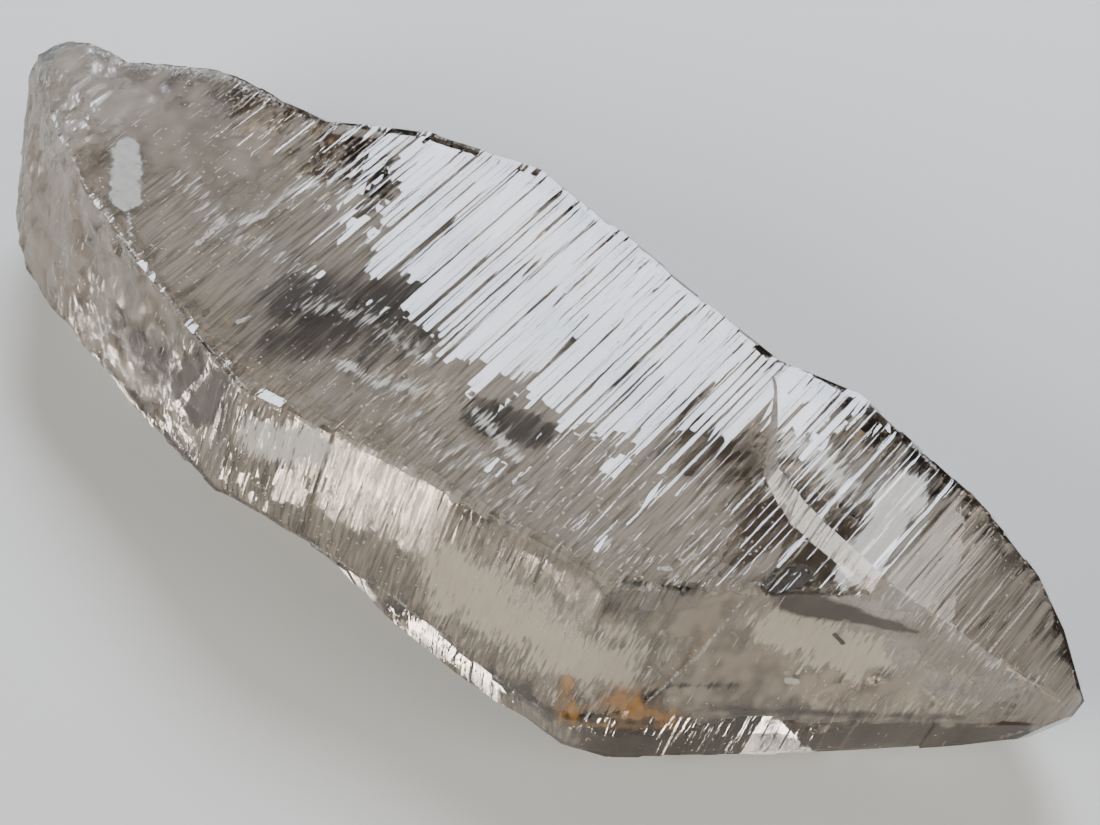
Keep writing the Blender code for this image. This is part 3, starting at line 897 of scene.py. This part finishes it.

# %% [markdown]
# ## Milky veils and a painted reflection
# Milky quartz is quartz full of bubbles a few thousandths of a millimetre across, which scatter light
# like mist. Here it is in soft cream films under the left prism face, in the big rhombohedral face,
# at the tip and under the top, denser and whiter than the haze round them. The densest cream patch,
# in the big rhombohedral face below the block, is a painted reflection: it stands for light that a
# bright face reflects inside the stone.

# %% Milky veils
milk = film_material("milky_quartz_and_reflection", ("#e6d6bb", "#fffaee"), 0.5, 0.85, 0.6, 2.0, (1, 0.14, 0.14))
films("milky_veils_and_reflection", milk, [
    ([(-24, -29, 40), (18, -22, 35)], 15, 1.2, 1.0, 0.6),
    # Painted reflection: the bright cream patch below the block.
    ([(46.5, -0.5, 40), (58, 7, 33.5)], 16, 0.6, 0.9, 1.6),
    ([(60, 2, 24), (76, 15, 24)], 14, 0.7, 1.0, 0.8),
    ([(60, 24, 46), (76, 26, 33)], 16, 1.0, 0.8, 0.65),
    ([(64, 12, 33), (80, 23, 27)], 7, 0.8, 1.0, 0.8),
    ([(4, -25, 33), (30, -20, 32)], 28, 0.9, 0.9, 1.5),
    ([(-24, -12), (-12, -8)], 11, 0.8, 1.0, 0.9),
])

# %% [markdown]
# ## Dark smoke and painted shade
# Smoky quartz is coloured by natural radiation, which darkens some zones of growth more than others.
# The dark films here are mostly painted shade, though: brown sheets with streaks along the striations,
# put where the stone looks into shadow, as in the broad dark band under the top face and under the
# overhang of the block by the tip. Where a step of growth shuts off the light from behind, the shade
# is painted as a clear brown window with straight edges, on the left prism face, below the block's
# edge and low down towards the tip.

# %% Dark smoke
# Painted shade: dark brown films where the stone looks into shadow.
zone = film_material("painted_shade_zone", ("#1c150e", "#4a3d30"), 0.7, 0.84, 0.5, 2.2, (1, 0.07, 0.07))
films("painted_shade_zones", zone, [
    ([(-41, -12), (-31, -2)], 31, 0.9, 0.9, 1.3),
    ([(-8.5, -7.5), (0, -4)], 8, 0.7, 0.35, 1.05),
    ([(43.6, 1.5, 47), (45.4, 6, 47)], 4.5, 0.4, 0.3, 1.2),
    ([(39, -15, 28.5), (46, -8, 28.5)], 3, 0.4, 1.0, 0.9),
    ([(54.2, 4.6, 39), (55.3, 5.6, 37)], 0.9, 0.3, 0.4, 1.8),
])
# Painted shade: dark brown windows where a step of growth shuts the light off from behind.
window = film_material("painted_shade_window", ("#3b2f25", "#6b5a4a"), 2.0, 0.86, 0.4, 0.8, (1, 0.3, 0.3))
films("painted_shade_windows", window, [
    ([(-52.3, -36.6, 38.7), (-48.8, -31.3, 47.8)], 3.8, 0.4, 0.15, 1.35),
    ([(-47.2, -36.3, 37.3), (-43.2, -30.8, 46.6)], 5.0, 0.4, 0.15, 1.35),
    ([(-68, -35, 38), (-42, -33, 42)], 18, 0.7, 0.8, 1.0),
    ([(46.5, 3, 45), (63, 13.0, 39.5)], 8, 0.35, 0.6, 1.35, 0.85),
    ([(-62, -37, 26), (-36, -34, 24)], 13, 0.6, 0.8, 0.95),
    ([(45, -11, 23.5), (64, 2, 23.5), (77, 13.5, 23)], 4.0, 0.4, 0.9, 0.9),
    ([(30, -28, 9), (58, -3.5, 9), (80, 17, 13)], 22, 0.9, 0.3, 1.3),
])

# %% [markdown]
# ## Healed cracks and painted glints
# A crack that healed is a sheet of flat fluid-filled flakes. It catches the light in white wisps that
# lie along the striations. Three of the films are painted reflections instead: a silvery patch of
# reflected light on the left prism face, and two bright glints on the top of the block by the tip.

# %% Healed cracks
healed = film_material("healed_crack_and_glint", ("#e6dfd2", "#ffffff"), 0.4, 0.95, 0.35, 3.4, (1, 0.12, 0.12))
films("healed_cracks_and_glints", healed, [
    ([(-43, -13), (-39, -8.5), (-32.5, -7), (-20.5, -6)], 5.0, 0.5, 1.0, 0.85),
    ([(-31, -15.5), (-24, -14.5), (-19, -11)], 4.0, 0.4, 1.0, 0.95),
    ([(-62.5, -8), (-60.4, -4), (-60.7, 2.3), (-59, 7)], 3.0, 0.4, 1.0, 1.0),
    ([(-76, -8), (-60, -10), (-50, -8)], 8.0, 0.7, 1.0, 0.65),
    ([(-9, -7.5), (1, -9)], 4.0, 0.4, 1.0, 1.1),
    # Painted reflection: a silvery patch of reflected light on the left prism face.
    ([(-34, -31.5, 41), (-24, -28, 45)], 10.0, 0.3, 0.6, 1.35),
    ([(14, -20.5, 38), (26, -18, 36)], 8.0, 0.6, 1.0, 0.65),
    ([(-24, -16), (4, -14), (24, -10)], 9.0, 0.9, 1.0, 0.55),
    ([(31, -1), (33, -10), (34, -16)], 9.0, 0.8, 1.0, 0.65),
    # Painted glints: two bright patches of reflected light on the top of the block.
    ([(31, 22), (42, 21)], 9.0, 0.5, 0.9, 1.2),
    ([(48.6, 27), (51.2, 11.5)], 8.0, 0.3, 0.6, 2.0),
    ([(58, 13.5, 46), (70, 18, 37), (80, 24, 29)], 6.0, 0.4, 1.0, 0.75),
    ([(30.8, 13.6, 48), (38.9, 12.7, 48), (48.9, 12.1, 48), (60, 11.2, 45)], 3.0, 0.3, 1.0, 0.7),
])

# %% [markdown]
# ## Bruises and edge highlights
# Quartz is hard but brittle. Where it was knocked, a mesh of tiny cracks turns it white: along its
# edges, at the crushed spot near the root and at a few small spots by the tip. The thin white lines
# along the edges and down the curved growth step are partly such bruising and partly a painted
# highlight, for the light that an edge catches. They lie just under the skin, so their films are the
# shallowest.

# %% Bruises
WAIST_RUN, RIGHT_EDGE_RUN, ROOT_EDGE_RUN = (-60, 26, 4), (-70, 54, 4), (-112, -70, 6)
EDGE_INSET, GROWTH_STEP_PARTS = 0.6, 10


def waist_path(start, end, step):
    """Points along the edge between the upper left face and the strip below it."""
    points = []
    for x in range(start, end, step):
        points.append((x, *crossing(upper_left_side(x), (ANGLES["base"], -along(WAIST_Z, x)))))
    return points


def top_right_path(start, end, step):
    """Points along the top face's right edge."""
    places = range(start, end, step)
    return [(x, along(TOP_RIGHT_Y, x) - EDGE_INSET, along(TOP_Z, x)) for x in places]


def growth_step_path():
    """Points down the curved growth step on the big rhombohedral face."""
    points = []
    for k in range(1, GROWTH_STEP_PARTS):
        share = k / GROWTH_STEP_PARTS
        x = FIELD_STEP_X - FIELD_STEP_BOW * share**2
        left = [p for p in section(x) if p[0] == "upper_left"]
        _, _, _, y, z = left[int(share * len(left))]
        points.append((x, y, z))
    return points


spot = film_material("crushed_quartz", ("#c8cac7", "#ffffff"), 1.2, 0.9, 0.7, 1.5, (1, 1, 1))
films("crushed_spot", spot, [
    ([(-87.5, -10.5), (-83, -14.2), (-79.4, -17.4)], 6.8, 0.3, 0.4, 1.35),
])
bruise = film_material("bruise_and_edge_highlight", ("#d5d2cc", "#ffffff"), 0.5, 0.92, 0.7, 1.8, (1, 0.7, 0.7))
films("bruises_and_edge_highlights", bruise, [
    ([(-77.6, -18.6), (-73, -21.8)], 2.6, 0.3, 1.0, 0.85),
    ([(-64, -15.5), (-64.4, -9.5)], 1.6, 0.3, 0.6, 1.2),
    ([(-47.7, -21.3), (-46.9, -19.6)], 1.1, 0.2, 0.3, 1.4),
    ([(31, -4.6), (31.6, -2.8)], 1.2, 0.4, 0.6, 1.3),
    ([(29.5, -8.2), (30.6, -7)], 1.2, 0.4, 0.6, 1.3),
    # Partly bruising, partly painted highlight: white lines along the edges and the growth step.
    ([(-36, -29), (-52, -27.2), (-70, -23.6)], 0.9, 0.2, 1.0, 0.8),
    ([(-68, -24.2), (-86, -20.6), (-100, -15.5)], 1.8, 0.25, 1.0, 0.9),
    (growth_step_path(), 1.3, 0.2, 1.0, 0.9),
    (waist_path(*WAIST_RUN), 1.4, 0.2, 1.0, 0.85),
    (top_right_path(*RIGHT_EDGE_RUN), 1.6, 0.2, 1.0, 0.85),
    (top_right_path(*ROOT_EDGE_RUN), 7.0, 0.3, 1.0, 0.85),
    ([(52.1, -2.2, 29.8), (52.9, -1.2, 29.4)], 1.7, 0.2, 0.5, 1.7),
    ([(52.3, -0.4, 31.0), (52.8, 0.8, 34.0)], 0.9, 0.2, 0.7, 1.8, 0.6),
])

# %% [markdown]
# ## Iron stain
# Rusty water crept into fine cracks at the foot of the big rhombohedral face and left iron oxide
# behind, orange where it is thin and rust-brown where it is thick.

# %% Iron stain
stain = film_material("iron_oxide_stain", ("#b46a10", "#f7c45a"), 1.4, 0.6, 0.6, 1.4, (0.8, 0.8, 0.2))
films("iron_stain", stain, [
    ([(27.4, -26.4, 29), (29.2, -26.2, 20)], 8.0, 0.15, 1.0, 1.15),
    ([(33, -21.6, 25), (40.5, -16.2, 21)], 12.0, 0.15, 1.0, 1.25),
    ([(28, -26.5, 19), (42, -17, 19)], 6.0, 0.15, 1.0, 1.0),
    ([(-60, -19.5), (-46, -23.5)], 5.0, 0.4, 1.0, 0.55),
])

# %% [markdown]
# ## Sparkles
# Single flakes and fine needles of trapped fluid are scattered through the whole body, thickest just
# under the faces. All of them are one mesh of small thin plates, with long ones laid along the
# striations and short ones turned at random, drawn from a seeded generator.

# %% Sparkles
FLAKE_SEED, FLAKE_COUNT, NEEDLE_SHARE = 23, 6500, 0.2
FLAKE_DEPTH, FLAKE_DEEPEST, FLAKE_LEAST_DEPTH = 1.3, 20.0, 0.25
FLAKE_RADIUS = (0.06, 0.26)
NEEDLE_LENGTH, NEEDLE_WIDTH = (0.3, 1.6), (0.04, 0.1)
FLAKE_CORNERS, FLAKE_TINT_SIZE = 5, 4.0
FLAKE_SPREAD, FLAKE_FLATTENING, CORNER_SHIFT = 0.35, (0.5, 1.0), 0.25
CLUSTER_SIZE, CLUSTER_LEAST = 11.0, -0.12
SKY_SHARE, OUTSIDE = 0.75, 80
FLAKES_ALONG, FLAKES_ACROSS, FLAKES_UP = (-112, 80), (-38, 40), (3, 46)
END_FACE = 0.95


def flake_place(draw):
    """A random point under one of the faces, and that face's normal."""
    x = draw.uniform(*FLAKES_ALONG)
    depth = min(draw.expovariate(1 / FLAKE_DEPTH), FLAKE_DEEPEST) + FLAKE_LEAST_DEPTH
    if draw.random() < SKY_SHARE:
        start, toward = Vector((x, draw.uniform(*FLAKES_ACROSS), OUTSIDE)), Vector((0, 0, -1))
    else:
        side = draw.choice((-1, 1))
        start, toward = Vector((x, OUTSIDE * side, draw.uniform(*FLAKES_UP))), Vector((0, -side, 0))
    hit, normal, _, _ = skin_tree.ray_cast(start, toward)
    return (None, None) if hit is None else (hit - normal * depth, normal)


def add_flake(mesh, draw, place, normal):
    """One thin plate: a needle along the striation, or a flake at any angle."""
    if draw.random() < NEEDLE_SHARE:
        first = normal.cross(Vector((1, 0, 0))).normalized() * draw.uniform(*NEEDLE_LENGTH)
        second = Vector((draw.uniform(*NEEDLE_WIDTH), 0, 0))
    else:
        tilt = Vector([draw.gauss(0, FLAKE_SPREAD) for _ in range(3)])
        facing = (normal + tilt).normalized()
        first = facing.orthogonal().normalized() * draw.uniform(*FLAKE_RADIUS)
        second = facing.cross(first) * draw.uniform(*FLAKE_FLATTENING)
    corners = []
    for k in range(FLAKE_CORNERS):
        a = 2 * math.pi * (k + draw.uniform(-CORNER_SHIFT, CORNER_SHIFT)) / FLAKE_CORNERS
        corners.append(mesh.verts.new(place + first * math.cos(a) + second * math.sin(a)))
    mesh.faces.new(corners)


def sparkle_mesh():
    """All flakes and needles that lie inside the skin, gathered in loose clusters."""
    draw = random.Random(FLAKE_SEED)
    mesh = bmesh.new()
    while len(mesh.faces) < FLAKE_COUNT:
        place, normal = flake_place(draw)
        if place is None or noise.noise(place / CLUSTER_SIZE) < CLUSTER_LEAST:
            continue
        if depth_under_skin(place) > FLAKE_LEAST_DEPTH and abs(normal.x) < END_FACE:
            add_flake(mesh, draw, place, normal)
    print("sparkles:", len(mesh.faces), "flakes and needles")
    return mesh


def fluid_material():
    """Fluid-filled flakes: nearly white and glossy, so that each one glints as the light moves."""
    made, tree = new_material("fluid_filled_flakes")
    place = add_node(tree, "ShaderNodeTexCoord").outputs["Object"]
    patches = add_node(
        tree, "ShaderNodeTexNoise", [("Scale", 1 / (FLAKE_TINT_SIZE * MM)), ("Detail", 1.0)],
        [(place, "Vector")],
    )
    shader = add_node(
        tree, "ShaderNodeBsdfPrincipled", [("Roughness", 0.3), ("Specular IOR Level", 0.8)],
        [(two_tones(tree, patches.outputs["Fac"], ("#e3d9c8", "#ffffff")), "Base Color")],
    )
    add_node(tree, "ShaderNodeOutputMaterial", links=[(shader.outputs["BSDF"], "Surface")])
    return made


to_frame(sparkle_mesh(), "sparkles", fluid_material())

# %% [markdown]
# ## Floor, light and camera
# A plain pale floor and an even grey room with three soft lights: a large one above and behind, whose
# mirror image lies in the top face, one from the left, which lights the left prism face, and a weak
# one from the tip's side. The camera looks down at the crystal from the tip's side.

# %% Floor, light and camera
FLOOR_HALF, FLOOR_GAP = 12.0, 0.0002
FOCUS = Vector((-BOX_CENTRE_X, -BOX_CENTRE_Y, HEIGHT)) * MM
CAMERA_AZIMUTH, CAMERA_ELEVATION, CAMERA_ROLL = -50.1, 60.14, 2.54
CAMERA_DISTANCE = 0.2561
FOCAL_LENGTH_MM = 54.07


def direction(azimuth, elevation):
    """Unit vector at an azimuth from +X towards +Y and an elevation above the floor, in degrees."""
    a, e = math.radians(azimuth), math.radians(elevation)
    return Vector((math.cos(a) * math.cos(e), math.sin(a) * math.cos(e), math.sin(e)))


def soft_light(name, at, aim, size, watts, colour):
    """An oval area light at a point, turned towards another."""
    data = bpy.data.lights.new(name, "AREA")
    data.shape = "ELLIPSE"
    data.size, data.size_y = size
    data.energy = watts
    data.color = linear(colour)[:3]
    made = bpy.data.objects.new(name, data)
    made.location = at
    made.rotation_euler = (Vector(at) - Vector(aim)).to_track_quat("Z", "Y").to_euler()
    bpy.context.scene.collection.objects.link(made)


floor_mesh = bmesh.new()
bmesh.ops.create_grid(floor_mesh, x_segments=1, y_segments=1, size=FLOOR_HALF)
floor_data = bpy.data.meshes.new("floor")
floor_mesh.to_mesh(floor_data)
floor_mesh.free()
floor = bpy.data.objects.new("floor", floor_data)
floor.location.z = -FLOOR_GAP
bpy.context.scene.collection.objects.link(floor)
paper, paper_tree = new_material("pale_paper")
paper_shader = add_node(
    paper_tree, "ShaderNodeBsdfPrincipled",
    [("Base Color", linear("#cdcdca")), ("Roughness", 0.9), ("Specular IOR Level", 0.2)],
)
add_node(
    paper_tree, "ShaderNodeOutputMaterial", links=[(paper_shader.outputs["BSDF"], "Surface")]
)
floor_data.materials.append(paper)

KEY_AT = Vector((-0.280, 0.448, 0.70))
soft_light("key_softbox", KEY_AT, KEY_AT - Vector((0, 0, 1)), (0.41, 0.35), 11.5, "#e6efff")
soft_light("tip_softbox", (0.62, 0.20, 0.40), FOCUS, (0.45, 0.45), 3.0, "#fff8ee")
soft_light("left_softbox", (-0.26, -0.78, 0.55), FOCUS, (0.60, 0.60), 10.0, "#fffaf2")

ROOM_COLOUR, ROOM_STRENGTH = "#cfd3d8", 0.24
world = bpy.data.worlds.new("grey_room")
world.use_nodes = True
background = world.node_tree.nodes["Background"]
background.inputs["Color"].default_value = linear(ROOM_COLOUR)
background.inputs["Strength"].default_value = ROOM_STRENGTH
bpy.context.scene.world = world

toward_camera = direction(CAMERA_AZIMUTH, CAMERA_ELEVATION)
camera_data = bpy.data.cameras.new("camera")
camera_data.lens = FOCAL_LENGTH_MM
camera_data.clip_start = 0.01
camera = bpy.data.objects.new("camera", camera_data)
camera.rotation_mode = "QUATERNION"
camera.rotation_quaternion = toward_camera.to_track_quat("Z", "Y") @ Quaternion(
    (0, 0, 1), math.radians(CAMERA_ROLL)
)
camera.location = FOCUS + toward_camera * CAMERA_DISTANCE
bpy.context.scene.collection.objects.link(camera)
bpy.context.scene.camera = camera
print("camera at", [round(1000 * v, 1) for v in camera.location], "mm")
